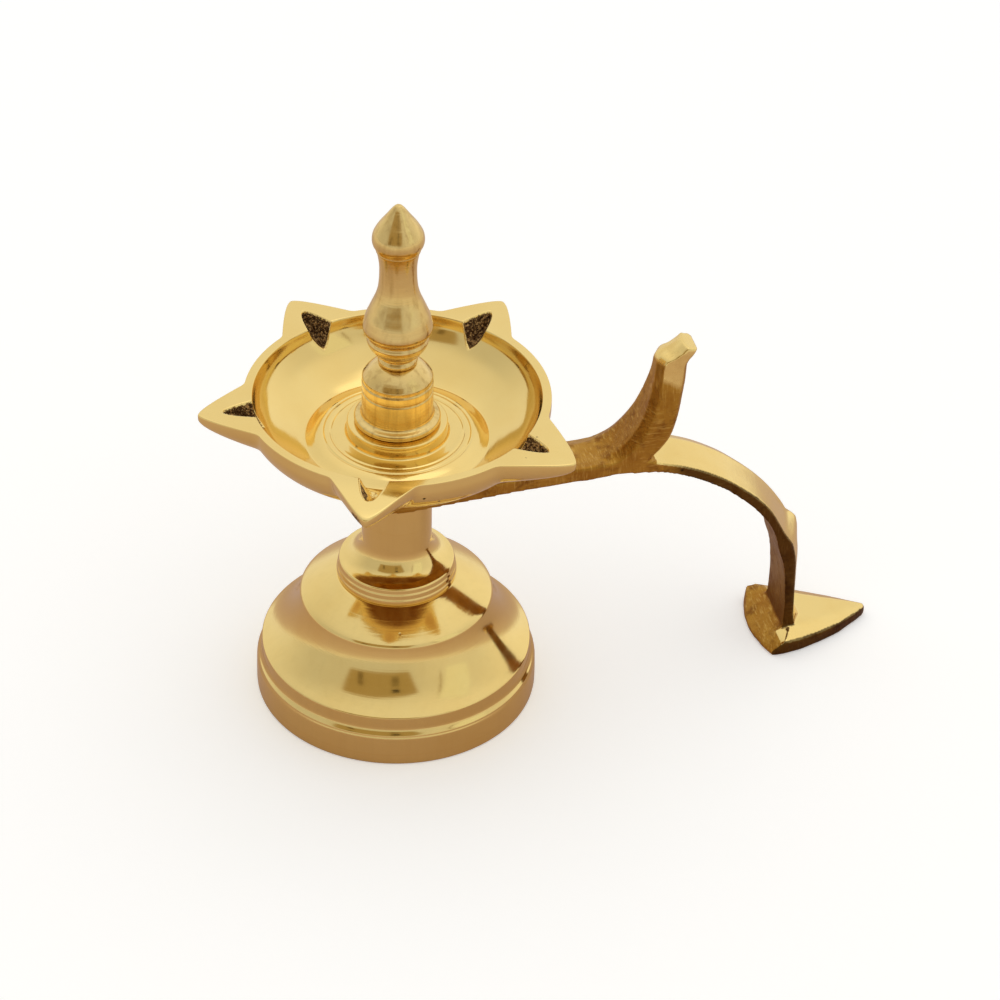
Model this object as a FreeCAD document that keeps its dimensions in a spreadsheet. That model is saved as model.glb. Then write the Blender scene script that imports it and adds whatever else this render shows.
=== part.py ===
import FreeCAD, Part
import math
import os
import re
import Sketcher

# Brass standing oil lamp (samai) with a carrying handle, in millimetres.
# Z is the lamp's turned axis, the floor is Z = 0 and the handle runs along +X.
# The stack, from the floor: foot, stem, handle eye, oil bowl, hub collar and finial,
# all drawn together by a threaded rod with a washer and a nut inside the hollow foot.

doc = FreeCAD.newDocument("samai")
sheet = doc.addObject("Spreadsheet::Sheet", "Sizes")

SIZES = {
    # threaded rod, washer and nut
    "rod_radius": 2.5,
    "rod_hole_radius": 2.8,
    "rod_foot_end": 18.5,
    "rod_length": 79.0,
    "rod_point": 0.5,
    "washer_radius": 5.0,
    "washer_thick": 1.0,
    "nut_across_flats": 8.0,
    "nut_height": 4.0,
    # foot
    "foot_radius": 30.1,
    "foot_band_height": 7.4,
    "foot_cove_radius": 2.2,
    "foot_cove_top": 9.4,
    "foot_step_radius": 29.0,
    "foot_step_height": 11.7,
    "foot_scotia_radius": 17.1,
    "foot_shoulder_radius": 20.8,
    "foot_shoulder_height": 24.1,
    "foot_dome_radius": 60.0,
    "foot_seat_radius": 12.9,
    "foot_height": 29.0,
    "foot_bore_radius": 27.4,
    "foot_bore_height": 8.6,
    "foot_inner_curve": 19.0,
    "foot_inner_shoulder": 18.6,
    "foot_inner_height": 21.6,
    "foot_web_radius": 9.0,
    "foot_web_height": 25.0,
    # stem
    "stem_radius": 7.4,
    "stem_height": 22.0,
    "stem_flange_radius": 12.8,
    "stem_bead_step": 0.33,
    "stem_bead_height": 1.4,
    "stem_flange_height": 4.1,
    "stem_fillet_radius": 5.4,
    "stem_fillet_top": 9.6,
    # handle: eye and arm
    "eye_radius": 9.5,
    "eye_thick": 3.0,
    "arm_start": 2.0,
    "arm_root_half_width": 9.2,
    "arm_root_length": 36.0,
    "strap_width": 12.0,
    "arm_underside_rise": 0.4,
    "arm_crest_x": 47.0,
    # handle: underside of the strap, from the arm round the finger loop to the post
    "loop_a_x": 64.7,
    "loop_a_height": 47.4,
    "loop_a_radius": 37.0,
    "loop_b_x": 81.2,
    "loop_b_height": 32.8,
    "loop_b_radius": 42.0,
    "loop_c_x": 85.6,
    "loop_c_height": 17.0,
    "loop_c_radius": 36.0,
    "post_inner_x": 86.0,
    "post_outer_x": 89.3,
    "post_foot_height": 1.5,
    # handle: top of the strap
    "knuckle_height": 28.0,
    "knuckle_chamfer": 3.0,
    "knuckle_x": 87.0,
    "back_a_x": 75.8,
    "back_a_height": 43.5,
    "back_a_radius": 41.0,
    "back_b_x": 60.2,
    "back_b_height": 52.0,
    "back_b_radius": 45.0,
    "back_start_x": 53.0,
    "arm_top_height": 54.2,
    # handle: thumb spur
    "spur_root_x": 38.0,
    "spur_root_height": 53.2,
    "spur_bend_x": 51.3,
    "spur_bend_height": 61.7,
    "spur_bend_radius": 15.0,
    "spur_neck_x": 55.1,
    "spur_neck_height": 76.2,
    "spur_front_radius": 47.0,
    "spur_brow_x": 57.7,
    "spur_brow_height": 78.0,
    "spur_crest_x": 60.6,
    "spur_crest_height": 80.3,
    "spur_nose_x": 63.5,
    "spur_nose_height": 79.6,
    "spur_throat_x": 61.3,
    "spur_throat_height": 76.2,
    "spur_back_height": 71.9,
    "spur_back_x": 58.2,
    "spur_back_low": 59.6,
    "spur_back_radius": 40.0,
    "spur_heel_radius": 12.0,
    "spur_half_width": 3.5,
    "spur_taper_low": 57.0,
    "spur_taper_high": 72.0,
    # handle: leaf that rests on the floor
    "leaf_corner_x": 83.0,
    "leaf_half_width": 11.0,
    "leaf_back_radius": 20.0,
    "leaf_tip_x": 107.0,
    "leaf_tip_half_width": 1.0,
    "leaf_side_radius": 38.0,
    "leaf_thick": 3.4,
    # oil bowl, heights above the underside of its boss
    "bowl_boss_radius": 9.2,
    "bowl_boss_top": 3.2,
    "bowl_flare_radius": 11.5,
    "bowl_flare_height": 5.6,
    "bowl_belly_radius": 27.0,
    "bowl_belly_height": 12.0,
    "bowl_belly_curve": 36.0,
    "bowl_side_curve": 8.9,
    "bowl_side_height": 18.6,
    "bowl_rim_radius": 31.9,
    "bowl_rim_height": 20.9,
    "bowl_mouth_radius": 30.0,
    "bowl_wall_radius": 26.0,
    "bowl_wall_height": 14.3,
    "bowl_wall_curve": 10.3,
    "bowl_valley_radius": 19.3,
    "bowl_valley_height": 10.3,
    "bowl_floor_curve": 45.0,
    "bowl_ring_radius": 15.6,
    "bowl_ring_height": 11.7,
    "bowl_trough_radius": 11.3,
    "bowl_trough_height": 11.6,
    "bowl_hub_radius": 10.4,
    "bowl_hub_height": 14.7,
    "bowl_turn": 45.0,
    # spouts of the oil bowl
    "spout_count": 5.0,
    "spout_sweep": 270.0,
    "spout_root_x": 27.0,
    "spout_root_half_width": 11.8,
    "spout_root_depth": 7.5,
    "spout_mid_x": 35.2,
    "spout_mid_half_width": 5.9,
    "spout_mid_depth": 6.4,
    "spout_tip_x": 41.6,
    "spout_tip_half_width": 0.8,
    "spout_tip_depth": 1.6,
    "wick_root_x": 26.0,
    "wick_root_half_width": 4.3,
    "wick_root_depth": 5.8,
    "wick_tip_x": 36.3,
    "wick_tip_half_width": 0.4,
    "wick_tip_depth": 0.2,
    "wick_clearance": 1.0,
    # hub collar, heights above its seat in the bowl
    "collar_foot_radius": 8.6,
    "collar_bead_height": 0.85,
    "collar_bead_top": 1.6,
    "collar_radius": 7.4,
    "collar_groove_height": 7.7,
    "collar_groove_depth": 0.2,
    "collar_groove_width": 0.4,
    "collar_band_height": 9.9,
    "collar_edge_height": 11.1,
    "collar_top_radius": 4.1,
    "collar_height": 14.3,
    # finial, heights above its seat on the hub collar
    "finial_foot_radius": 3.8,
    "finial_neck_bead_radius": 4.1,
    "finial_neck_bead_height": 0.9,
    "finial_neck_radius": 3.7,
    "finial_neck_height": 1.8,
    "finial_cup_radius": 4.9,
    "finial_cup_height": 3.4,
    "finial_cup_curve": 5.0,
    "finial_bead_radius": 6.4,
    "finial_bead_height": 7.2,
    "finial_cove_radius": 6.1,
    "finial_cove_height": 8.3,
    "finial_vase_radius": 7.15,
    "finial_vase_height": 10.1,
    "finial_vase_curve": 6.0,
    "finial_waist_radius": 3.75,
    "finial_waist_height": 22.2,
    "finial_flare_radius": 4.9,
    "finial_flare_height": 16.1,
    "finial_flare_curve": 11.0,
    "finial_bulb_radius": 5.35,
    "finial_bulb_height": 30.2,
    "finial_bulb_curve": 11.0,
    "finial_tip_radius": 0.5,
    "finial_height": 38.0,
    "finial_hole_depth": 15.5,
}


def fill_sheet():
    """One row for each size: its name beside its value."""
    for row, (alias, value) in enumerate(SIZES.items(), start=1):
        sheet.set("A%d" % row, alias)
        sheet.set("B%d" % row, repr(value))
        sheet.setAlias("B%d" % row, alias)
    doc.recompute()


def bound(text):
    """The same expression with every size read from the sheet."""
    return re.sub(r"[a-z]\w+", lambda word: "Sizes." + word.group(0), text)


def size(text):
    """The value of an expression of sizes, in millimetres."""
    return float(sheet.evalExpression(bound(text)))


def new_body(label, lift=None):
    """A body with its own label, standing at a height given by an expression."""
    body = doc.addObject("PartDesign::Body", label)
    body.Label = label
    if lift:
        body.setExpression("Placement.Base.z", bound(lift))
    return body


def new_sketch(body, name, role, offset=None):
    """A sketch on one of the body's own origin planes, moved along its normal if asked."""
    plane = [f for f in body.Origin.OriginFeatures if f.Role == role][0]
    sketch = body.newObject("Sketcher::SketchObject", body.Name + "_" + name)
    sketch.AttachmentSupport = [(plane, "")]
    sketch.MapMode = "FlatFace"
    if offset:
        sketch.setExpression("AttachmentOffset.Base.z", bound(offset))
    return sketch


def hold_point(sketch, segment, end, across, up):
    """Fixes one end of a segment at two expressions, measured from the sketch's origin."""
    for kind, axis, text in (("DistanceX", -2, across), ("DistanceY", -1, up)):
        value = size(text)
        if abs(value) < 1e-9:
            sketch.addConstraint(Sketcher.Constraint("PointOnObject", segment, end, axis))
            continue
        if value > 0:
            rule = Sketcher.Constraint(kind, -1, 1, segment, end, value)
        else:
            rule = Sketcher.Constraint(kind, segment, end, -1, 1, -value)
            text = "-(%s)" % text
        index = sketch.addConstraint(rule)
        sketch.setExpression("Constraints[%d]" % index, bound(text))


def arc_between(start, end, radius, turn):
    """The shorter arc from start to end; turn is +1 for anticlockwise, -1 for clockwise."""
    chord = end - start
    reach = math.sqrt(max(radius ** 2 - (chord.Length / 2) ** 2, 0.0))
    side = FreeCAD.Vector(-chord.y, chord.x, 0).normalize() * turn
    centre = (start + end) * 0.5 + side * reach
    first, last = (start, end) if turn > 0 else (end, start)
    angles = [math.atan2(p.y - centre.y, p.x - centre.x) for p in (first, last)]
    if angles[1] < angles[0]:
        angles[1] += 2 * math.pi
    circle = Part.Circle(centre, FreeCAD.Vector(0, 0, 1), radius)
    return Part.ArcOfCircle(circle, angles[0], angles[1])


def draw_outline(sketch, steps):
    """A closed outline. Each step is (across, up) for a straight run to that point, or
    (across, up, radius, turn) for an arc to it. The last point joins the first."""
    places = [FreeCAD.Vector(size(step[0]), size(step[1]), 0) for step in steps]
    begins = []
    ends = []
    for index, start in enumerate(places):
        follower = (index + 1) % len(places)
        step = steps[follower]
        if len(step) == 4:
            arc = arc_between(start, places[follower], size(step[2]), step[3])
            segment = sketch.addGeometry(arc, False)
            begins.append((segment, 1 if step[3] > 0 else 2))
            ends.append((segment, 2 if step[3] > 0 else 1))
            radius = sketch.addConstraint(Sketcher.Constraint("Radius", segment, size(step[2])))
            sketch.setExpression("Constraints[%d]" % radius, bound(step[2]))
        else:
            line = Part.LineSegment(start, places[follower])
            segment = sketch.addGeometry(line, False)
            begins.append((segment, 1))
            ends.append((segment, 2))
    for index, (segment, end) in enumerate(begins):
        before, before_end = ends[index - 1]
        sketch.addConstraint(
            Sketcher.Constraint("Coincident", before, before_end, segment, end))
        hold_point(sketch, segment, end, steps[index][0], steps[index][1])


def draw_circle(sketch, radius):
    """A circle about the sketch's origin."""
    centre = FreeCAD.Vector(0, 0, 0)
    circle = Part.Circle(centre, FreeCAD.Vector(0, 0, 1), size(radius))
    segment = sketch.addGeometry(circle, False)
    sketch.addConstraint(Sketcher.Constraint("Coincident", segment, 3, -1, 1))
    index = sketch.addConstraint(Sketcher.Constraint("Radius", segment, size(radius)))
    sketch.setExpression("Constraints[%d]" % index, bound(radius))


def turn_profile(body, name, steps, kind="PartDesign::Revolution"):
    """A full turn of a profile about the lamp's axis, adding or cutting."""
    sketch = new_sketch(body, name + "_profile", "XZ_Plane")
    draw_outline(sketch, steps)
    feature = body.newObject(kind, body.Name + "_" + name)
    feature.Profile = sketch
    feature.ReferenceAxis = (sketch, ["V_Axis"])
    feature.Angle = 360.0
    return feature


def pad(body, name, sketch, length, both_ways=False):
    """A straight pad whose length is an expression."""
    feature = body.newObject("PartDesign::Pad", body.Name + "_" + name)
    feature.Profile = sketch
    feature.SideType = "Symmetric" if both_ways else "One side"
    feature.setExpression("Length", bound(length))
    return feature


def make_foot():
    """Hollow bell foot: straight band, step, hollow curve, sloping dome and stem seat."""
    body = new_body("foot")
    turn_profile(body, "bell", [
        ("foot_radius", "0"),
        ("foot_radius", "foot_band_height"),
        ("foot_step_radius", "foot_cove_top", "foot_cove_radius", -1),
        ("foot_step_radius", "foot_step_height"),
        ("foot_shoulder_radius", "foot_shoulder_height", "foot_scotia_radius", -1),
        ("foot_seat_radius", "foot_height", "foot_dome_radius", 1),
        ("rod_hole_radius", "foot_height"),
        ("rod_hole_radius", "foot_web_height"),
        ("foot_web_radius", "foot_web_height"),
        ("foot_inner_shoulder", "foot_inner_height"),
        ("foot_bore_radius", "foot_bore_height", "foot_inner_curve", 1),
        ("foot_bore_radius", "0"),
    ])
    return body


def make_stem():
    """Turned column on a beaded flange, bored for the rod."""
    body = new_body("stem", "foot_height")
    turn_profile(body, "column", [
        ("rod_hole_radius", "0"),
        ("stem_flange_radius", "0"),
        ("stem_flange_radius", "stem_bead_height"),
        ("stem_flange_radius - stem_bead_step", "stem_bead_height"),
        ("stem_flange_radius - stem_bead_step", "stem_bead_height * 2"),
        ("stem_flange_radius - stem_bead_step * 2", "stem_bead_height * 2"),
        ("stem_flange_radius - stem_bead_step * 2", "stem_flange_height"),
        ("stem_radius", "stem_fillet_top", "stem_fillet_radius", -1),
        ("stem_radius", "stem_height"),
        ("rod_hole_radius", "stem_height"),
    ])
    return body


def make_handle():
    """One casting: eye, arm, thumb spur, strap round the finger loop, post and leaf."""
    body = new_body("handle")
    eye_height = "foot_height + stem_height"

    eye = new_sketch(body, "eye_plan", "XY_Plane", eye_height)
    draw_circle(eye, "eye_radius")
    pad(body, "eye", eye, "eye_thick")

    root = new_sketch(body, "root_plan", "XY_Plane", eye_height)
    draw_outline(root, [
        ("arm_start", "-arm_root_half_width"),
        ("arm_root_length", "-strap_width / 2"),
        ("arm_root_length", "strap_width / 2"),
        ("arm_start", "arm_root_half_width"),
    ])
    pad(body, "arm_root", root, "eye_thick")

    strap = new_sketch(body, "strap_side", "XZ_Plane")
    draw_outline(strap, [
        ("arm_root_length - eye_radius", eye_height),
        ("arm_crest_x", eye_height + " + arm_underside_rise"),
        ("loop_a_x", "loop_a_height", "loop_a_radius", -1),
        ("loop_b_x", "loop_b_height", "loop_b_radius", -1),
        ("loop_c_x", "loop_c_height", "loop_c_radius", -1),
        ("post_inner_x", "post_foot_height"),
        ("post_outer_x", "post_foot_height"),
        ("post_outer_x", "knuckle_height - knuckle_chamfer"),
        ("knuckle_x", "knuckle_height"),
        ("back_a_x", "back_a_height", "back_a_radius", 1),
        ("back_b_x", "back_b_height", "back_b_radius", 1),
        ("back_start_x", "arm_top_height"),
        ("arm_root_length - eye_radius", eye_height + " + eye_thick"),
    ])
    pad(body, "strap", strap, "strap_width", both_ways=True)

    spur = new_sketch(body, "spur_side", "XZ_Plane")
    draw_outline(spur, [
        ("spur_root_x", eye_height + " + eye_thick / 2"),
        ("back_start_x", eye_height + " + eye_thick / 2"),
        ("back_start_x", "arm_top_height"),
        ("spur_back_x", "spur_back_low", "spur_heel_radius", 1),
        ("spur_throat_x", "spur_back_height", "spur_back_radius", 1),
        ("spur_throat_x", "spur_throat_height"),
        ("spur_nose_x", "spur_nose_height"),
        ("spur_crest_x", "spur_crest_height"),
        ("spur_brow_x", "spur_brow_height"),
        ("spur_neck_x", "spur_neck_height"),
        ("spur_bend_x", "spur_bend_height", "spur_front_radius", -1),
        ("spur_root_x", "spur_root_height", "spur_bend_radius", -1),
    ])
    pad(body, "spur", spur, "strap_width", both_ways=True)

    for name, side in (("taper_left", ""), ("taper_right", "-")):
        taper = new_sketch(body, name + "_end", "YZ_Plane")
        steps = [
            ("strap_width / 2 + 1", "spur_taper_low"),
            ("strap_width / 2 + 1", "spur_crest_height + 1"),
            ("spur_half_width", "spur_crest_height + 1"),
            ("spur_half_width", "spur_taper_high"),
            ("strap_width / 2", "spur_taper_low"),
        ]
        draw_outline(taper, [(side + "(" + across + ")", up) for across, up in steps])
        cut = body.newObject("PartDesign::Pocket", "handle_" + name)
        cut.Profile = taper
        cut.SideType = "Symmetric"
        cut.setExpression("Length", bound("leaf_tip_x * 2"))

    leaf = new_sketch(body, "leaf_plan", "XY_Plane")
    draw_outline(leaf, [
        ("leaf_corner_x", "-leaf_half_width", "leaf_back_radius", 1),
        ("leaf_tip_x", "-leaf_tip_half_width", "leaf_side_radius", 1),
        ("leaf_tip_x", "leaf_tip_half_width"),
        ("leaf_corner_x", "leaf_half_width", "leaf_side_radius", 1),
    ])
    pad(body, "leaf", leaf, "leaf_thick")

    hole = new_sketch(body, "rod_hole_plan", "XY_Plane", eye_height)
    draw_circle(hole, "rod_hole_radius")
    bore = body.newObject("PartDesign::Pocket", "handle_rod_hole")
    bore.Profile = hole
    bore.SideType = "Symmetric"
    bore.setExpression("Length", bound("eye_thick * 4"))
    return body


def hull_section(body, name, place, half_width, depth):
    """Cross-section of a spout: level top edge at the rim and a rounded keel below."""
    sketch = new_sketch(body, name, "YZ_Plane", place)
    waist = half_width + " * 0.94"
    keel = half_width + " * 0.35"
    shoulder = "bowl_rim_height - " + depth + " * 0.5"
    bottom = "bowl_rim_height - " + depth
    draw_outline(sketch, [
        ("-" + half_width, "bowl_rim_height"),
        ("-" + waist, shoulder),
        ("-" + keel, bottom),
        (keel, bottom),
        (waist, shoulder),
        (half_width, "bowl_rim_height"),
    ])
    return sketch


def wick_section(body, name, place, half_width, depth):
    """Cross-section of the wick groove: wide at the rim and narrow at its floor."""
    sketch = new_sketch(body, name, "YZ_Plane", place)
    floor = half_width + " * 0.4"
    above = "bowl_rim_height + wick_clearance"
    below = "bowl_rim_height - " + depth
    draw_outline(sketch, [
        ("-" + half_width, above),
        ("-" + floor, below),
        (floor, below),
        (half_width, above),
    ])
    return sketch


def loft(body, name, sections, kind):
    """A straight-sided loft through sections, adding or cutting."""
    feature = body.newObject(kind, body.Name + "_" + name)
    feature.Profile = sections[0]
    feature.Sections = sections[1:]
    feature.Ruled = True
    return feature


def repeat_round(body, name, feature):
    """One copy of a feature at each spout, about the lamp's axis."""
    pattern = body.newObject("PartDesign::PolarPattern", body.Name + "_" + name)
    pattern.Originals = [feature]
    axis = [f for f in body.Origin.OriginFeatures if f.Role == "Z_Axis"][0]
    pattern.Axis = (axis, [""])
    pattern.setExpression("Angle", bound("spout_sweep"))
    pattern.setExpression("Occurrences", bound("spout_count"))
    body.Tip = pattern
    return pattern


def make_oil_bowl():
    """Turned dish with five pointed spouts cast on its rim, each with a wick groove.
    The wide gap between the first and last spout faces the handle."""
    body = new_body("oil_bowl", "foot_height + stem_height + eye_thick")
    body.setExpression("Placement.Rotation.Angle", bound("bowl_turn"))
    turn_profile(body, "blank", [
        ("rod_hole_radius", "0"),
        ("bowl_boss_radius", "0"),
        ("bowl_boss_radius", "bowl_boss_top"),
        ("bowl_flare_radius", "bowl_flare_height"),
        ("bowl_belly_radius", "bowl_belly_height", "bowl_belly_curve", 1),
        ("bowl_rim_radius", "bowl_side_height", "bowl_side_curve", 1),
        ("bowl_rim_radius", "bowl_rim_height"),
        ("rod_hole_radius", "bowl_rim_height"),
    ])
    spout = loft(body, "spout", [
        hull_section(body, "spout_root", "spout_root_x",
                     "spout_root_half_width", "spout_root_depth"),
        hull_section(body, "spout_mid", "spout_mid_x",
                     "spout_mid_half_width", "spout_mid_depth"),
        hull_section(body, "spout_tip", "spout_tip_x",
                     "spout_tip_half_width", "spout_tip_depth"),
    ], "PartDesign::AdditiveLoft")
    repeat_round(body, "spouts", spout)
    turn_profile(body, "well", [
        ("rod_hole_radius", "bowl_hub_height"),
        ("bowl_hub_radius", "bowl_hub_height"),
        ("bowl_trough_radius", "bowl_trough_height"),
        ("bowl_ring_radius", "bowl_ring_height"),
        ("bowl_valley_radius", "bowl_valley_height"),
        ("bowl_wall_radius", "bowl_wall_height", "bowl_floor_curve", 1),
        ("bowl_mouth_radius", "bowl_rim_height", "bowl_wall_curve", 1),
        ("bowl_mouth_radius", "bowl_rim_height + wick_clearance"),
        ("rod_hole_radius", "bowl_rim_height + wick_clearance"),
    ], "PartDesign::Groove")
    groove = loft(body, "wick_groove", [
        wick_section(body, "wick_root", "wick_root_x",
                     "wick_root_half_width", "wick_root_depth"),
        wick_section(body, "wick_tip", "wick_tip_x",
                     "wick_tip_half_width", "wick_tip_depth"),
    ], "PartDesign::SubtractiveLoft")
    repeat_round(body, "wick_grooves", groove)
    return body


def make_hub_collar():
    """Turned collar round the rod: bead, grooved cylinder and sloping top."""
    body = new_body("hub_collar",
                    "foot_height + stem_height + eye_thick + bowl_hub_height")
    turn_profile(body, "collar", [
        ("rod_hole_radius", "0"),
        ("collar_foot_radius", "0"),
        ("collar_foot_radius", "collar_bead_top", "collar_bead_height", 1),
        ("collar_radius", "collar_bead_top"),
        ("collar_radius", "collar_groove_height"),
        ("collar_radius - collar_groove_depth", "collar_groove_height"),
        ("collar_radius - collar_groove_depth",
         "collar_groove_height + collar_groove_width"),
        ("collar_radius", "collar_groove_height + collar_groove_width"),
        ("collar_radius", "collar_band_height"),
        ("collar_radius - collar_groove_depth", "collar_band_height"),
        ("collar_radius - collar_groove_depth", "collar_edge_height"),
        ("collar_top_radius", "collar_height"),
        ("rod_hole_radius", "collar_height"),
    ])
    return body


def make_finial():
    """Turned knob screwed on the rod: neck, cup, vase, waist and pointed bulb."""
    body = new_body("finial", "foot_height + stem_height + eye_thick"
                              " + bowl_hub_height + collar_height")
    turn_profile(body, "knob", [
        ("rod_hole_radius", "0"),
        ("finial_foot_radius", "0"),
        ("finial_neck_bead_radius", "finial_neck_bead_height"),
        ("finial_neck_radius", "finial_neck_height"),
        ("finial_cup_radius", "finial_cup_height"),
        ("finial_bead_radius", "finial_bead_height", "finial_cup_curve", 1),
        ("finial_cove_radius", "finial_cove_height"),
        ("finial_vase_radius", "finial_vase_height"),
        ("finial_flare_radius", "finial_flare_height", "finial_vase_curve", 1),
        ("finial_waist_radius", "finial_waist_height", "finial_flare_curve", -1),
        ("finial_bulb_radius", "finial_bulb_height", "finial_bulb_curve", -1),
        ("finial_tip_radius", "finial_height"),
        ("0", "finial_height"),
        ("0", "finial_hole_depth"),
        ("rod_hole_radius", "finial_hole_depth"),
    ])
    return body


def make_tie_rod():
    """Threaded rod that draws the stack together, with pointed ends."""
    body = new_body("tie_rod", "rod_foot_end")
    turn_profile(body, "rod", [
        ("0", "0"),
        ("rod_radius - rod_point", "0"),
        ("rod_radius", "rod_point"),
        ("rod_radius", "rod_length - rod_point"),
        ("rod_radius - rod_point", "rod_length"),
        ("0", "rod_length"),
    ])
    return body


def make_foot_washer():
    """Flat washer between the foot's web and the nut."""
    outer = doc.addObject("Part::Cylinder", "washer_disc")
    outer.setExpression("Radius", bound("washer_radius"))
    outer.setExpression("Height", bound("washer_thick"))
    inner = doc.addObject("Part::Cylinder", "washer_hole")
    inner.setExpression("Radius", bound("rod_hole_radius"))
    inner.setExpression("Height", bound("washer_thick"))
    return drilled("foot_washer", outer, inner, "foot_web_height - washer_thick")


def make_foot_nut():
    """Hexagon nut that holds the rod inside the hollow foot."""
    outer = doc.addObject("Part::Prism", "nut_hexagon")
    outer.Polygon = 6
    outer.setExpression("Circumradius", bound("nut_across_flats / (3 ^ 0.5)"))
    outer.setExpression("Height", bound("nut_height"))
    inner = doc.addObject("Part::Cylinder", "nut_thread")
    inner.setExpression("Radius", bound("rod_radius"))
    inner.setExpression("Height", bound("nut_height"))
    return drilled("foot_nut", outer, inner,
                   "foot_web_height - washer_thick - nut_height")


def drilled(label, outer, inner, lift):
    """The outer solid with the inner one cut from it, at a height on the rod."""
    cut = doc.addObject("Part::Cut", label)
    cut.Label = label
    cut.Base = outer
    cut.Tool = inner
    cut.setExpression("Placement.Base.z", bound(lift))
    return cut


def check_document():
    """Stops if any object of the document failed to build."""
    for item in doc.Objects:
        if "Invalid" in item.State or "Error" in item.State:
            raise RuntimeError("%s did not build: %s" % (item.Name, item.State))


def write_steps(pieces):
    """One STEP file for each piece, named by its label."""
    os.makedirs("parts", exist_ok=True)
    for piece in pieces:
        shape = piece.Shape
        if shape.isNull() or not shape.isValid() or len(shape.Solids) != 1:
            raise RuntimeError("%s is not one valid solid" % piece.Label)
        shape.exportStep(os.path.join("parts", piece.Label + ".step"))
        box = shape.BoundBox
        print("%-12s %9.1f mm3  x %.2f..%.2f  y %.2f..%.2f  z %.2f..%.2f" % (
            piece.Label, shape.Volume, box.XMin, box.XMax, box.YMin, box.YMax,
            box.ZMin, box.ZMax))


fill_sheet()
pieces = [
    make_foot(),
    make_stem(),
    make_handle(),
    make_oil_bowl(),
    make_hub_collar(),
    make_finial(),
    make_tie_rod(),
    make_foot_washer(),
    make_foot_nut(),
]
doc.recompute()
check_document()
write_steps(pieces)
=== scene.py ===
import math

import bpy
import bmesh
import numpy as np
from mathutils import Matrix, Vector


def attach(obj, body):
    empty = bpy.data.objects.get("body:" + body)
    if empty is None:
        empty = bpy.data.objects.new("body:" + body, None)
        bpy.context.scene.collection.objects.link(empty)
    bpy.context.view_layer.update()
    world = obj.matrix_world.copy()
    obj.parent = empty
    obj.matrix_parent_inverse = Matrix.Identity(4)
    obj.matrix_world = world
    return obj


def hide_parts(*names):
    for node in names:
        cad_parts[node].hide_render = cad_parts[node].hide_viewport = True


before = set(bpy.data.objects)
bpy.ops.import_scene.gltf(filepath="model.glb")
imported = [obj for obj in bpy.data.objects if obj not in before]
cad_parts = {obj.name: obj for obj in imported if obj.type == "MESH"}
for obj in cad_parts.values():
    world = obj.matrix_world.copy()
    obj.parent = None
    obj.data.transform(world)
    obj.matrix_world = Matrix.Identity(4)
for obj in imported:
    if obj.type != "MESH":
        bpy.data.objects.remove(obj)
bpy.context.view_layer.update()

# The looks of a turned and filed brass lamp. Profiles are (radius, height) in millimetres
# above the floor, and every mesh is scaled to metres as it is made.
MM = 0.001
rng = np.random.default_rng(7)


# ---------------------------------------------------------------- outlines

def flow(points, steps=8):
    """A smooth curve through the points, by Catmull-Rom."""
    p = np.array(points, float)
    p = np.vstack([2 * p[0] - p[1], p, 2 * p[-1] - p[-2]])
    out = [p[1]]
    for i in range(1, len(p) - 2):
        for t in np.linspace(0, 1, steps + 1)[1:]:
            out.append(0.5 * (2 * p[i] + (p[i + 1] - p[i - 1]) * t
                              + (2 * p[i - 1] - 5 * p[i] + 4 * p[i + 1] - p[i + 2]) * t ** 2
                              + (3 * p[i] - p[i - 1] - 3 * p[i + 1] + p[i + 2]) * t ** 3))
    return [tuple(q) for q in out]


def arc(start, end, radius, turn, steps=20):
    """The shorter arc from start to end; turn is 1 for anticlockwise and -1 for clockwise."""
    a, b = np.array(start, float), np.array(end, float)
    chord = b - a
    half = np.linalg.norm(chord) / 2
    side = np.array([-chord[1], chord[0]]) / (2 * half) * turn
    centre = (a + b) / 2 + side * math.sqrt(max(radius ** 2 - half ** 2, 0))
    a0 = math.atan2(*(a - centre)[::-1])
    a1 = math.atan2(*(b - centre)[::-1])
    if turn > 0 and a1 < a0:
        a1 += 2 * math.pi
    if turn < 0 and a1 > a0:
        a1 -= 2 * math.pi
    return [(centre[0] + radius * math.cos(t), centre[1] + radius * math.sin(t))
            for t in np.linspace(a0, a1, steps + 1)]


def softened(outline, soft, closed, step=0.12):
    """The outline with every corner rounded by about soft, thinned where it is straight."""
    p = np.array(outline, float)
    if closed:
        p = np.vstack([p, p[:1]])
    run = np.concatenate([[0], np.cumsum(np.linalg.norm(np.diff(p, axis=0), axis=1))])
    count = max(int(run[-1] / step), 16)
    at = np.linspace(0, run[-1], count + 1)
    q = np.stack([np.interp(at, run, p[:, k]) for k in (0, 1)], 1)
    reach = max(int(3 * soft / step), 1)
    weight = np.exp(-0.5 * (np.arange(-reach, reach + 1) * step / soft) ** 2)
    weight /= weight.sum()
    if closed:
        q = q[:-1]
        wide = np.vstack([q[-reach:], q, q[:reach]])
    else:
        head, tail = q[1:reach + 1][::-1].copy(), q[-reach - 1:-1][::-1].copy()
        head[:, 0] *= -1
        tail[:, 0] *= -1
        wide = np.vstack([head, q, tail])
    q = np.stack([np.convolve(wide[:, k], weight, "valid") for k in (0, 1)], 1)
    if not closed:
        q[0, 0] = q[-1, 0] = 0.0
    keep = [0]
    for i in range(1, len(q) - 1):
        a, b = q[keep[-1]], q[i + 1]
        span = np.linalg.norm(b - a)
        mid = q[keep[-1] + 1:i + 1]
        off = np.abs(np.cross(b - a, mid - a)) / max(span, 1e-9)
        if off.max() > 0.0025 or span > 1.2:
            keep.append(i)
    return q[keep + [len(q) - 1]]


# ---------------------------------------------------------------- meshes

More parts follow.
